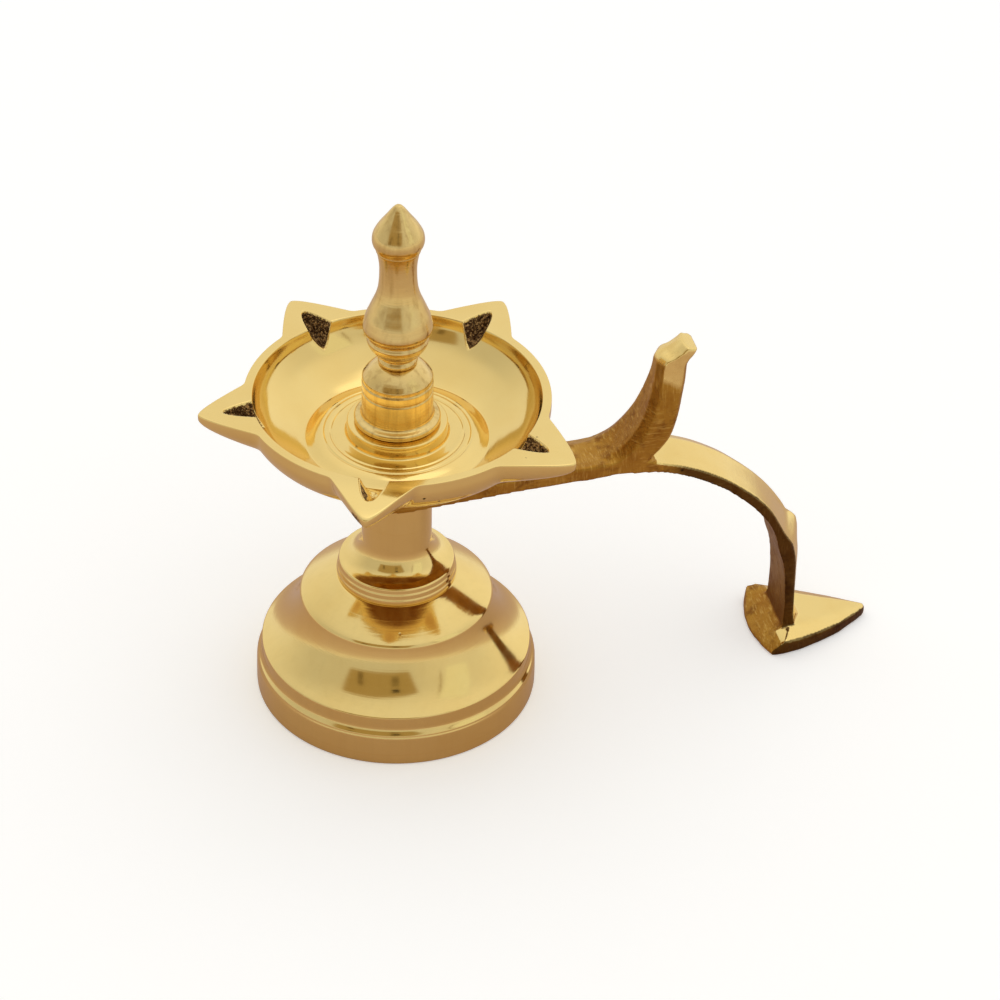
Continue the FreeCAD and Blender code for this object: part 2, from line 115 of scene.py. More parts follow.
def finish_mesh(name, verts, faces, smooth=True):
    """A mesh object in metres from points in millimetres."""
    mesh = bpy.data.meshes.new(name)
    mesh.from_pydata([tuple(v) for v in np.asarray(verts) * MM], [], faces)
    mesh.validate()
    bm = bmesh.new()
    bm.from_mesh(mesh)
    bmesh.ops.recalc_face_normals(bm, faces=bm.faces)
    bm.to_mesh(mesh)
    bm.free()
    if smooth:
        mesh.polygons.foreach_set("use_smooth", [True] * len(mesh.polygons))
    obj = bpy.data.objects.new(name, mesh)
    bpy.context.scene.collection.objects.link(obj)
    return obj


def ring_faces(rows, columns, closed_rows):
    """Quads of a grid that is closed round its columns."""
    faces = []
    last = rows if closed_rows else rows - 1
    for i in range(last):
        a, b = i * columns, ((i + 1) % rows) * columns
        for j in range(columns):
            k = (j + 1) % columns
            faces.append((a + j, a + k, b + k, b + j))
    return faces


def turned(name, outline, soft=0.18, around=192, closed=True):
    """A turned piece. An open outline starts and ends on the axis."""
    q = softened(outline, soft, closed)
    angle = np.arange(around) * 2 * math.pi / around
    rows = q if closed else q[1:-1]
    verts = [(r * c, r * s, z) for r, z in rows for c, s in zip(np.cos(angle), np.sin(angle))]
    faces = ring_faces(len(rows), around, closed)
    if not closed:
        low, high = len(verts), len(verts) + 1
        verts += [(0, 0, q[0][1]), (0, 0, q[-1][1])]
        top = (len(rows) - 1) * around
        for j in range(around):
            k = (j + 1) % around
            faces.append((low, k, j))
            faces.append((high, top + j, top + k))
    return finish_mesh(name, verts, faces)


# ---------------------------------------------------------------- foot, stem, collar, finial

foot_outline = (
    [(27.6, 0), (29.9, 0), (30.15, 0.5)]
    + flow([(30.2, 1.4), (30.2, 3.6), (30.14, 6.2), (30.1, 7.0)], 4)
    + [(29.86, 7.25), (29.9, 7.5)]
    + arc((29.9, 7.6), (29.02, 9.5), 2.2, -1, 10)
    + [(29.05, 9.7), (29.0, 11.7)]
    + arc((28.75, 11.85), (20.75, 23.6), 17.1, -1, 40)
    + flow([(20.72, 23.95), (20.4, 24.45), (19.7, 25.0)], 5)
    + flow([(19.2, 25.33), (17.2, 26.58), (15.2, 27.74), (12.9, 29.0)], 5)
    + [(2.9, 29.0), (2.9, 25.0), (9.0, 25.0), (18.6, 21.6)]
    + arc((18.6, 21.6), (27.4, 8.6), 19.0, 1, 24)
)
foot = turned("bell_foot", foot_outline, 0.2, 224)

stem_outline = (
    [(2.9, 29.0), (12.7, 29.0), (12.8, 29.15), (12.8, 30.25), (12.7, 30.36), (12.6, 30.5),
     (12.6, 31.55), (12.5, 31.66), (12.38, 31.8), (12.36, 32.7), (12.2, 33.0)]
    + arc((11.9, 33.1), (7.42, 38.8), 5.6, -1, 24)
    + [(7.4, 51.0), (2.9, 51.0)]
)
stem = turned("turned_stem", stem_outline, 0.14, 192)

collar_outline = (
    [(2.9, 68.7), (8.55, 68.7)]
    + flow([(8.75, 68.8), (9.02, 69.25), (9.02, 69.8), (8.7, 70.2), (8.2, 70.35)], 4)
    + arc((8.0, 70.4), (7.45, 71.1), 0.75, -1, 6)
    + [(7.42, 76.2), (7.2, 76.35), (7.2, 76.65), (7.42, 76.8), (7.44, 78.5),
       (7.2, 78.7), (7.16, 79.2), (7.4, 79.4), (7.34, 79.8)]
    + arc((7.3, 79.9), (4.15, 83.0), 9.0, 1, 10)
    + [(2.9, 83.0)]
)
collar = turned("turned_collar", collar_outline, 0.1, 160)

finial_outline = (
    [(0, 98.6), (2.75, 98.6), (2.75, 83.0), (3.8, 83.0)]
    + flow([(4.05, 83.5), (4.12, 83.9), (3.95, 84.4), (3.7, 84.8)], 4)
    + flow([(3.78, 84.95), (4.3, 85.5), (4.85, 85.9)], 4)
    + [(4.95, 86.02), (4.9, 86.2)]
    + flow([(5.0, 86.4), (5.75, 87.2), (6.2, 88.05), (6.42, 88.9)], 5)
    + flow([(6.3, 89.3), (6.1, 89.8), (6.35, 90.4), (6.95, 91.1)], 4)
    + flow([(7.15, 91.35), (7.22, 92.1), (7.08, 93.0), (6.8, 94.1), (6.4, 95.3), (5.85, 96.6),
            (5.2, 98.1), (4.6, 99.6), (4.15, 101.3), (3.92, 103.2), (3.84, 105.2), (3.88, 107.0),
            (4.12, 108.8),
            (4.4, 110.2)], 8)
    + [(4.62, 110.45), (4.55, 110.7)]
    + flow([(4.75, 111.1), (5.2, 112.0), (5.36, 113.0), (5.2, 114.2), (4.7, 115.3),
            (3.9, 116.6), (2.65, 118.3), (1.45, 120.0), (0.75, 120.8)], 6)
    + [(0.5, 120.95), (0.3, 120.95), (0, 120.95)]
)
grooves = [(92.9, 0.05), (93.6, 0.09), (94.4, 0.06), (95.7, 0.09), (96.5, 0.05), (111.5, 0.06)]
finial = turned("pointed_finial", finial_outline, 0.1, 160, closed=False)
for v in finial.data.vertices:
    z = v.co.z / MM
    depth = sum(d * math.exp(-((z - at) / 0.09) ** 2) for at, d in grooves)
    reach = math.hypot(v.co.x, v.co.y)
    if reach > 4.2 * MM:
        v.co.x *= 1 - depth * MM / reach
        v.co.y *= 1 - depth * MM / reach


# ---------------------------------------------------------------- oil bowl

RIM = 74.9
SPOUTS = [45.0, 111.5, 178.5, 249.0, 315.0]
LENGTHS = [41.3, 41.2, 41.55, 41.35, 42.9]
DROOPS = [0.0, 0.0, 0.0, 1.8, 0.3]


def bowl_angles():
    """Columns round the bowl, closest together at the spouts' tips."""
    marks = []
    for centre in SPOUTS:
        marks += [centre + d for d in np.arange(-3.0, 3.01, 0.25)]
        marks += [centre + s * d for d in np.arange(3.35, 19.0, 0.38) for s in (-1, 1)]
    marks = sorted(m % 360 for m in marks)
    filled = []
    for a, b in zip(marks, marks[1:] + [marks[0] + 360]):
        extra = max(int(math.ceil((b - a) / 1.6)), 1)
        filled += [a + (b - a) * k / extra for k in range(extra)]
    return np.radians(sorted(set(round(f % 360, 5) for f in filled)))


def hull_reach(turned_by, depth, tip):
    """How far a spout's skin is from the axis, at an angle from its own line and a depth
    below the rim. Its plan narrows to a rounded tip and its keel rises towards it."""
    low = np.zeros(np.broadcast(turned_by, depth).shape)
    high = np.full(low.shape, tip)
    for _ in range(34):
        mid = (low + high) / 2
        along, across = mid * np.cos(turned_by), np.abs(mid * np.sin(turned_by))
        left = np.clip(tip - along, 0, None)
        half = 0.498 * left + 1.10 * np.sqrt(left)
        keel = 1.3 + 1.505 * left ** 0.597
        wide = half * np.clip(1 - np.clip(depth / keel, 0, 1) ** 2.3, 0, 1) ** 0.55
        inside = across <= wide
        inside &= depth < keel
        low, high = np.where(inside, mid, low), np.where(inside, high, mid)
    return low


def resampled(points, count, power=1.0):
    """Each column's points spread evenly along it, closer at both ends if power is over 1."""
    step = np.linalg.norm(np.diff(points, axis=1), axis=2)
    run = np.concatenate([np.zeros((len(points), 1)), np.cumsum(step, 1)], 1)
    t = np.linspace(0, 1, count)
    t = np.where(t < 0.5, 0.5 * (2 * t) ** power, 1 - 0.5 * (2 - 2 * t) ** power)
    out = np.empty((len(points), count, 2))
    for i in range(len(points)):
        at = t * run[i, -1]
        out[i, :, 0] = np.interp(at, run[i], points[i, :, 0])
        out[i, :, 1] = np.interp(at, run[i], points[i, :, 1])
    return out


theta = bowl_angles()
spout_at = np.radians(SPOUTS)
away = (theta[:, None] - spout_at[None, :] + math.pi) % (2 * math.pi) - math.pi
nearest = np.argmin(np.abs(away), 1)
phi = away[np.arange(len(theta)), nearest]
tip = np.array(LENGTHS)[nearest]

under = ([(2.9, 54.0), (9.1, 54.0), (9.2, 54.2), (9.2, 57.0)]
         + flow([(9.25, 57.2), (10.1, 58.6), (11.5, 59.7), (13.2, 60.25)], 6))
belly = arc((13.2, 60.25), (27.0, 66.0), 36.0, 1, 40)[1:]
side = arc((27.0, 66.0), (31.9, 72.6), 8.9, 1, 40)[1:] + [(31.9, 73.6), (31.9, RIM)]
skin = np.array(belly + side)
depth = np.linspace(0, RIM - 60.3, 360)
dish = np.interp(RIM - depth, skin[:, 1], skin[:, 0])
hull = hull_reach(phi[:, None], depth[None, :], tip[:, None])
blend = 0.7
gap = dish[None, :] - hull
reach = np.maximum(dish[None, :], hull) + np.where(
    np.abs(gap) < blend, (blend - np.abs(gap)) ** 2 / (4 * blend), 0)
columns = np.stack([reach, np.broadcast_to(RIM - depth, reach.shape)], 2)[:, ::-1]
outer = resampled(columns, 84, 1.25)

inner = (
    [(30.0, RIM)]
    + flow([(29.93, 74.55), (29.72, 73.4), (29.3, 72.1), (28.3, 70.5), (26.5, 68.6),
            (23.5, 66.55), (21.0, 65.1), (19.35, 64.3)], 8)
    + [(19.15, 64.3)]
    + flow([(18.3, 64.7), (17.2, 65.25), (16.2, 65.6), (15.75, 65.68)], 5)
    + [(15.6, 65.55), (15.4, 65.55), (15.25, 65.75)]
    + flow([(15.2, 65.78), (14.7, 65.86), (14.1, 65.78)], 4)
    + [(13.95, 65.62), (13.75, 65.62), (13.6, 65.76)]
    + flow([(13.4, 65.78), (12.9, 65.7), (12.2, 65.68), (11.3, 65.7)], 4)
    + flow([(11.0, 65.74), (10.75, 65.95), (10.62, 66.4)], 4)
    + [(10.5, 68.4), (10.3, 68.65), (2.9, 68.7)]
)
inner = softened(inner + [(2.9, 90.0), (30.0, 90.0)], 0.1, True, 0.1)
start = int(np.argmin(np.hypot(inner[:, 0] - 30.0, inner[:, 1] - RIM)))
inner = np.roll(inner, -start, 0)
inner = inner[:int(np.argmax(inner[:, 0] < 3.0))]
inner[0] = (30.0, RIM)
boss = np.array(under)
n = len(theta)

land_from = outer[:, -1, 0]
share = np.linspace(0, 1, 44)
land = np.stack([land_from[:, None] + (30.0 - land_from[:, None]) * share[None, :],
                 np.full((n, 44), RIM)], 2)[:, 1:-1]
grid = np.concatenate([
    np.broadcast_to(boss, (n,) + boss.shape), outer, land,
    np.broadcast_to(inner, (n,) + inner.shape),
    np.broadcast_to(np.array([(2.9, 68.7)]), (n, 1, 2)),
], 1)
first_soft, last_soft = len(boss), len(boss) + outer.shape[1] + land.shape[1] + 8
for _ in range(3):
    mean = (grid[:, first_soft - 1:last_soft - 1] + 2 * grid[:, first_soft:last_soft]
            + grid[:, first_soft + 1:last_soft + 1]) / 4
    grid[:, first_soft:last_soft] = mean

# Wick pockets: a blunt notch from near each spout's tip down the bowl's wall.
x = grid[:, :, 0] * np.cos(phi)[:, None]
y = grid[:, :, 0] * np.sin(phi)[:, None]
apex = 36.4
back = np.clip((apex - x) / 6.8, 0, None)
front = (nearest == 3)[:, None]
notch_half = 3.0 * np.minimum(back, 1.0) ** np.where(front, 0.38, 0.55)
notch_deep = 4.8 * np.minimum(back, 1.0) ** 0.45
shape = np.clip(1 - (np.abs(y) / np.maximum(notch_half, 1e-6)) ** 1.7, 0, 1)
inside_part = (np.arange(grid.shape[1]) > len(boss) + outer.shape[1] - 2)[None, :]
inside_part = inside_part & (grid[:, :, 0] > 22)
pocket = np.where((back > 0) & inside_part, notch_deep * shape, 0.0)
bumpy = sum(np.sin(x * fx + p) * np.sin(y * fy + q) for fx, fy, p, q in
            rng.uniform((3, 3, 0, 0), (11, 11, 6, 6), (14, 4))) / 14
floor_z = RIM - pocket + 0.35 * bumpy * (pocket > 0.3)
sunk = (pocket > 0.02) & (floor_z < grid[:, :, 1])
drop = np.where(sunk, grid[:, :, 1] - floor_z, 0.0)
grid[:, :, 1] = np.where(sunk, floor_z, grid[:, :, 1])

droop = np.array(DROOPS)[nearest][:, None]
grid[:, :, 1] -= droop * (np.clip(x - 31.0, 0, None) / 10.0) ** 2
rows = grid.shape[1]
cos_t, sin_t = np.cos(theta), np.sin(theta)
verts = np.stack([grid[:, :, 0] * cos_t[:, None], grid[:, :, 0] * sin_t[:, None],
                  grid[:, :, 1]], 2)
faces = []
for i in range(n):
    a, b = i * rows, ((i + 1) % n) * rows
    for j in range(rows):
        k = (j + 1) % rows
        faces.append((a + j, b + j, b + k, a + k))
bowl = finish_mesh("spouted_bowl", verts.reshape(-1, 3), faces)


def paint(obj, name, values):
    """One number for each vertex, for the materials to read."""
    layer = obj.data.attributes.new(name, "FLOAT", "POINT")
    layer.data.foreach_set("value", np.asarray(values, np.float32))


soot_grid = np.clip(drop / 1.0 + 0.15 * (drop > 0.05), 0, 1)
crescent = np.maximum(np.clip((x - 33.0) / 0.7, 0, 1), np.clip((-0.9 - y) / 0.5, 0, 1) * (x > 31.0))
soot_grid = np.where(front, soot_grid * crescent * 1.6, soot_grid)
below = RIM - grid[:, :, 1]
scar = np.hypot((x - 39.4) / 1.3, (below - 3.2) / 1.2)
on_side = front & (y < 0) & (np.arange(rows) < len(boss) + outer.shape[1])[None, :]
soot_grid = np.maximum(soot_grid, np.where(on_side, np.clip(1.5 - scar, 0, 0.8), 0))
paint(bowl, "soot", soot_grid.reshape(-1))
# Painted shade under the bowl: the underside towards the stem is darkened where it lies in shade.
underneath = (np.arange(rows) < len(boss) + 60)[None, :]
underside_painted_shade = np.clip((25.5 - grid[:, :, 0]) / 3.0, 0, 1) * underneath
paint(bowl, "underside_painted_shade", underside_painted_shade.reshape(-1))
holed = np.clip((x - 29.0) / 2.0, 0, 1) * (nearest == 4)[:, None] * (y > -4.5)
paint(bowl, "holed", (holed + 0.25 * (x > 29.0)).reshape(-1))


# ---------------------------------------------------------------- handle

def swept(name, sections):
    """A closed skin through cross-sections that have the same number of corners."""
    s = np.array(sections, float)
    count, corners = s.shape[:2]
    verts = [tuple(p) for section in s for p in section]
    faces = []
    for i in range(count - 1):
        for j in range(corners):
            k = (j + 1) % corners
            faces.append((i * corners + j, i * corners + k,
                          (i + 1) * corners + k, (i + 1) * corners + j))
    faces.append(tuple(range(corners))[::-1])
    faces.append(tuple((count - 1) * corners + j for j in range(corners)))
    return finish_mesh(name, verts, faces, smooth=False)


def densified(stations, steps=5):
    """Stations joined by a smooth curve in every one of their numbers."""
    return np.array(flow([tuple(np.ravel(s)) for s in stations], steps))


def hulled(name, points):
    """The tightest closed skin round the points."""
    bm = bmesh.new()
    for p in points:
        bm.verts.new(Vector(p) * MM)
    made = bmesh.ops.convex_hull(bm, input=bm.verts)
    stray = [g for g in made["geom_interior"] if isinstance(g, bmesh.types.BMVert)]
    bmesh.ops.delete(bm, geom=stray, context="VERTS")
    mesh = bpy.data.meshes.new(name)
    bm.to_mesh(mesh)
    bm.free()
    obj = bpy.data.objects.new(name, mesh)
    bpy.context.scene.collection.objects.link(obj)
    return obj


# under u z, near edge u z, far edge u z, half width, crown
strap = densified([
    (24.0, 51.0, 24.0, 54.0, 24.0, 54.0, 7.0, 0.0),
    (34.0, 50.8, 34.0, 54.0, 34.0, 54.0, 6.1, 0.0),
    (40.0, 50.9, 40.5, 54.2, 40.5, 54.2, 6.0, 0.0),
    (47.0, 51.4, 47.0, 54.6, 47.0, 54.6, 6.0, 0.0),
    (52.0, 51.1, 53.0, 53.9, 53.0, 54.4, 6.0, 0.0),
    (55.7, 50.6, 56.7, 52.8, 57.0, 53.5, 6.0, 0.05),
    (60.0, 49.4, 60.9, 51.5, 61.4, 52.3, 6.0, 0.1),
    (64.7, 47.4, 65.9, 49.3, 66.5, 50.2, 6.0, 0.1),
    (69.6, 44.6, 71.0, 46.3, 71.7, 47.2, 6.0, 0.1),
    (73.9, 41.2, 75.4, 42.8, 76.6, 43.4, 6.0, 0.15),
    (76.8, 38.5, 78.6, 39.8, 80.2, 40.1, 6.0, 0.2),
    (79.2, 35.7, 81.2, 36.6, 83.4, 36.4, 6.0, 0.2),
    (81.2, 32.8, 83.2, 33.0, 86.2, 32.4, 6.0, 0.25),
    (82.4, 30.2, 84.6, 30.2, 88.0, 29.3, 6.0, 0.3),
    (82.9, 28.8, 85.6, 28.4, 89.4, 28.2, 6.0, 0.5),
    (83.4, 27.0, 86.4, 26.8, 90.3, 26.8, 6.0, 0.8),
    (84.1, 24.2, 87.0, 24.2, 90.0, 24.2, 6.0, 1.1),
    (85.0, 21.3, 87.5, 21.3, 89.4, 21.3, 6.0, 1.2),
    (85.6, 17.4, 87.7, 17.4, 89.0, 17.4, 6.0, 1.2),
    (86.0, 11.4, 87.8, 11.4, 88.8, 11.4, 6.0, 1.2),
    (85.9, 6.0, 88.0, 6.0, 89.0, 6.0, 6.2, 1.2),
    (85.2, 2.0, 88.6, 2.0, 89.8, 2.0, 6.6, 1.2),
])
sections = []
for row in strap:
    lower, near, far = row[0:2], row[2:4], row[4:6]
    w, crown = row[6], row[7]
    out = (near + far) / 2 - lower
    out = out / np.linalg.norm(out) * crown
    bevel = far + (lower - far) * 0.28
    shapes = [(lower, -w), (lower, w), (bevel, w), (far, w - 2.8),
              (far * 0.7 + near * 0.3 + out, w * 0.3), (far * 0.3 + near * 0.7 + out, -w * 0.4),
              (near + out * 0.3, -w + 0.25), (near + (lower - near) * 0.08, -w)]
    sections.append([(p[0], v, p[1]) for p, v in shapes])
parts = [swept("strap_part", sections)]

# lamp side u z, back u z, half width
spur = densified([
    (36.0, 52.4, 46.5, 51.9, 6.0),
    (41.0, 53.7, 52.0, 52.4, 6.0),
    (45.3, 55.2, 54.6, 55.0, 6.0),
    (48.6, 58.0, 56.4, 57.1, 6.0),
    (51.3, 61.7, 58.1, 59.8, 5.8),
    (53.1, 66.0, 59.6, 64.4, 5.1),
    (54.2, 70.4, 60.5, 68.5, 4.2),
    (54.8, 73.7, 61.1, 71.9, 3.6),
    (55.1, 76.2, 61.3, 74.4, 3.4),
    (55.9, 77.4, 61.5, 75.8, 3.35),
    (57.7, 78.0, 62.1, 76.9, 3.3),
    (59.3, 78.9, 62.9, 78.0, 3.3),
    (60.7, 80.1, 63.5, 79.3, 3.2),
])
sections = []
for row in spur:
    front, rear, w = row[0:2], row[2:4], row[4]
    shapes = [(front, 2.2 - w), (front, w - 2.2), (front + (rear - front) * 0.2, w),
              (front + (rear - front) * 0.86, w), (rear, w - 0.9), (rear, -w + 0.9),
              (front + (rear - front) * 0.86, -w), (front + (rear - front) * 0.2, -w)]
    sections.append([(p[0], v, p[1]) for p, v in shapes])
parts.append(swept("spur_part", sections))

leaf_side = [(83.2, 11.0), (85.2, 11.0), (89.0, 10.2), (94.2, 8.4), (99.4, 6.1), (104.0, 3.1),
             (106.0, 1.5), (106.8, 0.5)]
leaf_back = [(82.3, 10.6), (81.0, 7.2), (80.1, 3.6), (79.8, 0.0)]
leaf_points = []
for u, v in leaf_side:
    height = 3.5 - (u - 84) * 0.042
    for s in (-1, 1):
        leaf_points += [(u - 0.25, s * (v - 0.25), 0.0), (u, s * v, 0.35)]
        if u > 84:
            leaf_points += [(u, s * v, height - (1.5 if s > 0 else 0.5)),
                            (85 + (u - 85) * 0.985, s * max(v - (2.9 if s > 0 else 0.5), 0),
                             height)]
for u, v in leaf_back:
    for s in (-1, 1):
        leaf_points += [(u + 0.2, s * v, 0.0), (u, s * v, 0.5), (u + 0.1, s * v, 0.9)]
leaf_points += [(87.2, s * 6.6, 4.3) for s in (-1, 1)] + [(82.6, 10.8, 3.0), (84.6, 10.9, 3.3)]
parts.append(hulled("leaf_part", leaf_points))
parts.append(hulled("heel_part", [
    (85.6, -6.3, 3.0), (85.6, 6.3, 3.0), (86.0, -6.0, 6.4), (86.0, 6.0, 6.4),
    (88.9, -3.0, 6.2), (89.1, 3.6, 6.2), (88.0, -6.1, 4.4), (88.2, 6.0, 4.4),
    (91.4, -2.6, 3.15), (91.4, 3.2, 3.15), (89.4, -6.2, 3.2), (89.4, 6.0, 3.2)]))
eye_ring = [(9.5 * math.cos(t), 9.5 * math.sin(t)) for t in np.linspace(0, 2 * math.pi, 96, False)]
parts.append(hulled("eye_part", [(a, b, z) for a, b in eye_ring for z in (51.0, 54.0)]))
parts.append(hulled("root_part", [(a, s * b, z) for a, b in ((1.0, 9.35), (35.0, 6.0))
                                  for s in (-1, 1) for z in (51.0, 54.0)]))


def melted(name, pieces, voxel, relax):
    """One clean skin over closed pieces that run into each other, with its edges eased."""
    bm = bmesh.new()
    for piece in pieces:
        bm.from_mesh(piece.data)
        bpy.data.objects.remove(piece)
    mesh = bpy.data.meshes.new(name)
    bm.to_mesh(mesh)
    bm.free()
    obj = bpy.data.objects.new(name, mesh)
    bpy.context.scene.collection.objects.link(obj)
    grow = obj.modifiers.new("skin", "REMESH")
    grow.mode = "VOXEL"
    grow.voxel_size = voxel * MM
    ease = obj.modifiers.new("ease", "SMOOTH")
    ease.factor = 0.5
    ease.iterations = relax
    bpy.context.view_layer.update()
    graph = bpy.context.evaluated_depsgraph_get()
    done = bpy.data.meshes.new_from_object(obj.evaluated_get(graph))
    obj.modifiers.clear()
    obj.data = done
    done.name = name
    return obj


handle = melted("filed_handle", parts, 0.3, 3)

# The rod's hole through the eye, then hand-filed waviness and a clamp to the casting's box.
cutter_outline = [(0, 49.0), (2.9, 49.0), (2.9, 56.0), (0, 56.0)]
cutter = turned("hole_cutter", cutter_outline, 0.02, 64, closed=False)
bore = handle.modifiers.new("bore", "BOOLEAN")
bore.operation = "DIFFERENCE"
bore.solver = "EXACT"
bore.object = cutter
bpy.context.view_layer.update()
graph = bpy.context.evaluated_depsgraph_get()
bored = bpy.data.meshes.new_from_object(handle.evaluated_get(graph))
handle.modifiers.clear()
handle.data = bored
bpy.data.objects.remove(cutter)
handle.data.polygons.foreach_set("use_smooth", [True] * len(handle.data.polygons))

co = np.empty(len(handle.data.vertices) * 3)
no = np.empty(len(handle.data.vertices) * 3)
handle.data.vertices.foreach_get("co", co)
handle.data.vertices.foreach_get("normal", no)
co, no = co.reshape(-1, 3) / MM, no.reshape(-1, 3)
wave = sum(np.sin(co @ k + p) for k, p in
           zip(rng.normal(0, 0.55, (12, 3)), rng.uniform(0, 6.28, 12))) / 12
on_top = (no[:, 2] > 0.3) & (co[:, 0] > 53.5)
co += no * (wave * np.where(on_top, 0.05, 0.16))[:, None] * (co[:, 0] > 14)[:, None]
co[:, 0] = np.minimum(co[:, 0], 106.95)
co[:, 1] = np.clip(co[:, 1], -10.98, 10.98)
co[:, 2] = np.clip(co[:, 2], 0.0, 80.25)
near_eye = np.hypot(co[:, 0], co[:, 1]) < 13
co[:, 2] = np.where(near_eye, np.clip(co[:, 2], 51.0, 54.0), co[:, 2])
handle.data.vertices.foreach_set("co", (co * MM).reshape(-1))
handle.data.update()

u, v, z = co.T
strap_top = (no[:, 2] > 0.25) & (u > 55.0) & (z < 53.6) & (z > 5)
strap_top |= (no[:, 0] > 0.6) & (z < 44) & (z > 5.5) & (u > 70)
leaf_top = (no[:, 2] > 0.55) & ((u > 86.5) | ((u > 84.4) & (v < -6.2))) & (z < 6)
facet = np.clip((z - 73.0 + 0.6 * (u - 55.0)) / 2.4 + 0.5, 0, 1) * (u > 53)
facet = facet * np.clip(np.maximum(-no[:, 1] - 0.62, no[:, 2] - 0.1) / 0.3, 0, 1)
nose = (z > 78.2) & (no[:, 0] > 0.2)
paint(handle, "polish", np.clip(strap_top * 1.0 + leaf_top * 1.0 + facet * 0.72 + nose * 0.6, 0, 1))
# Painted shade: the handle's faces turned to -y beyond u 56.5 and, at half strength, the post's
# inner faces are darkened, more so further out.
near_side = (no[:, 1] < -0.5) & (u > 56.5) & (z < 53.0)
inside_post = (no[:, 0] < -0.45) & (u > 76) & (z > 4.5)
paint(handle, "painted_side_shade", np.clip(near_side * 1.0 + inside_post * 0.5, 0, 1)
      * np.clip((u - 56.5) / 5.0, 0.3, 1))
# Painted shade: near-black spots at three small holes that the mesh does not have.
holes = [(57.4, -4.8, 53.6), (60.6, -6.0, 50.6), (92.0, -1.5, 3.2)]
near_hole = np.min([np.linalg.norm(co - np.array(h), axis=1) for h in holes], 0)
paint(handle, "hole", np.clip(1.3 - near_hole / 0.45, 0, 1))


# ---------------------------------------------------------------- rod, washer and nut

PITCH = 0.8
turns, per_turn, round_steps = 98, 8, 48
rod_z = np.linspace(18.5, 97.5, turns * per_turn + 1)
angle = np.arange(round_steps) * 2 * math.pi / round_steps
phase = (rod_z[:, None] / PITCH - angle[None, :] / (2 * math.pi)) % 1.0
crest = np.clip(np.abs(phase - 0.5) * 2.4 - 0.15, 0, 1)
fade = np.clip(np.minimum(rod_z - 18.5, 97.5 - rod_z) / 0.9, 0, 1)
rod_r = (2.02 + 0.46 * crest * fade[:, None]) - 0.3 * (1 - fade[:, None])
verts = np.stack([rod_r * np.cos(angle), rod_r * np.sin(angle),
                  np.broadcast_to(rod_z[:, None], rod_r.shape)], 2).reshape(-1, 3)
faces = ring_faces(len(rod_z), round_steps, False)
ends = len(verts)
verts = np.vstack([verts, [(0, 0, 18.5), (0, 0, 97.5)]])
top = (len(rod_z) - 1) * round_steps
for j in range(round_steps):
    k = (j + 1) % round_steps
    faces += [(ends, k, j), (ends + 1, top + j, top + k)]
rod = finish_mesh("threaded_rod", verts, faces)

washer = turned("flat_washer", [(2.9, 24.0), (4.95, 24.0), (4.95, 25.0), (2.9, 25.0)], 0.1, 96)

nut_angle = np.arange(144) * 2 * math.pi / 144
wedge = (nut_angle + math.pi / 6) % (math.pi / 3) - math.pi / 6
hexagon = np.minimum(4.0 / np.cos(wedge), 4.56)
chamfer = np.clip((hexagon - 4.0) * 0.55, 0, 0.4)
nut_rows = [(np.full(144, 2.55), np.full(144, 20.0)), (np.full(144, 3.85), np.full(144, 20.0)),
            (hexagon, 20.08 + chamfer), (hexagon, 23.92 - chamfer),
            (np.full(144, 3.85), np.full(144, 24.0)), (np.full(144, 2.55), np.full(144, 24.0))]
verts = np.vstack([np.stack([r * np.cos(nut_angle), r * np.sin(nut_angle), z], 1)
                   for r, z in nut_rows])
nut = finish_mesh("hex_nut", verts, ring_faces(len(nut_rows), 144, True), smooth=False)


# ---------------------------------------------------------------- materials

class Nodes:
    """Short names for making a material's nodes and joining them."""

    def __init__(self, name):
        self.material = bpy.data.materials.new(name)
        self.material.use_nodes = True
        self.tree = self.material.node_tree
        self.shader = self.tree.nodes["Principled BSDF"]
        self.place = self.tree.nodes.new("ShaderNodeTexCoord").outputs["Object"]

    def add(self, kind, inputs, **settings):
        node = self.tree.nodes.new("ShaderNode" + kind)
        for key, value in settings.items():
            setattr(node, key, value)
        for key, value in inputs.items():
            if isinstance(value, bpy.types.NodeSocket):
                self.tree.links.new(value, node.inputs[key])
            else:
                node.inputs[key].default_value = value
        return node.outputs

    def math(self, operation, a, b=0.0, c=0.0):
        return self.add("Math", {0: a, 1: b, 2: c}, operation=operation)[0]

    def mix(self, share, a, b):
        return self.add("Mix", {0: share, 6: a, 7: b}, data_type="RGBA")[2]

    def noise(self, place, scale, detail=3.0, rough=0.5):
        return self.add("TexNoise", {"Vector": place, "Scale": scale, "Detail": detail,
                                     "Roughness": rough})["Fac"]

    def ramp(self, value, low, high, start=0.0, end=1.0):
        return self.add("MapRange", {"Value": value, "From Min": low, "From Max": high,
                                     "To Min": start, "To Max": end})["Result"]

    def read(self, name):
        return self.add("Attribute", {}, attribute_name=name)["Fac"]

    def scaled(self, factors):
        return self.add("Mapping", {"Vector": self.place, "Scale": factors})[0]

    def lathe(self):
        """A place that is the same all round the axis: radius and height, in metres."""
        part = self.add("SeparateXYZ", {"Vector": self.place})
        out = self.math("SQRT", self.math("ADD", self.math("MULTIPLY", part[0], part[0]),
                                          self.math("MULTIPLY", part[1], part[1])))
        return self.add("CombineXYZ", {"X": out, "Y": 0.0, "Z": part[2]})[0]

    def bump(self, height, strength, distance, under=None):
        inputs = {"Height": height, "Strength": strength, "Distance": distance}
        if under is not None:
            inputs["Normal"] = under
        return self.add("Bump", inputs)["Normal"]

    def link(self, output, socket):
        self.tree.links.new(output, self.shader.inputs[socket])


BRASS = (0.88, 0.665, 0.26, 1)
DEEP = (0.80, 0.52, 0.14, 1)
TARNISH = (0.20, 0.07, 0.012, 1)
SOOT = (0.095, 0.045, 0.018, 1)


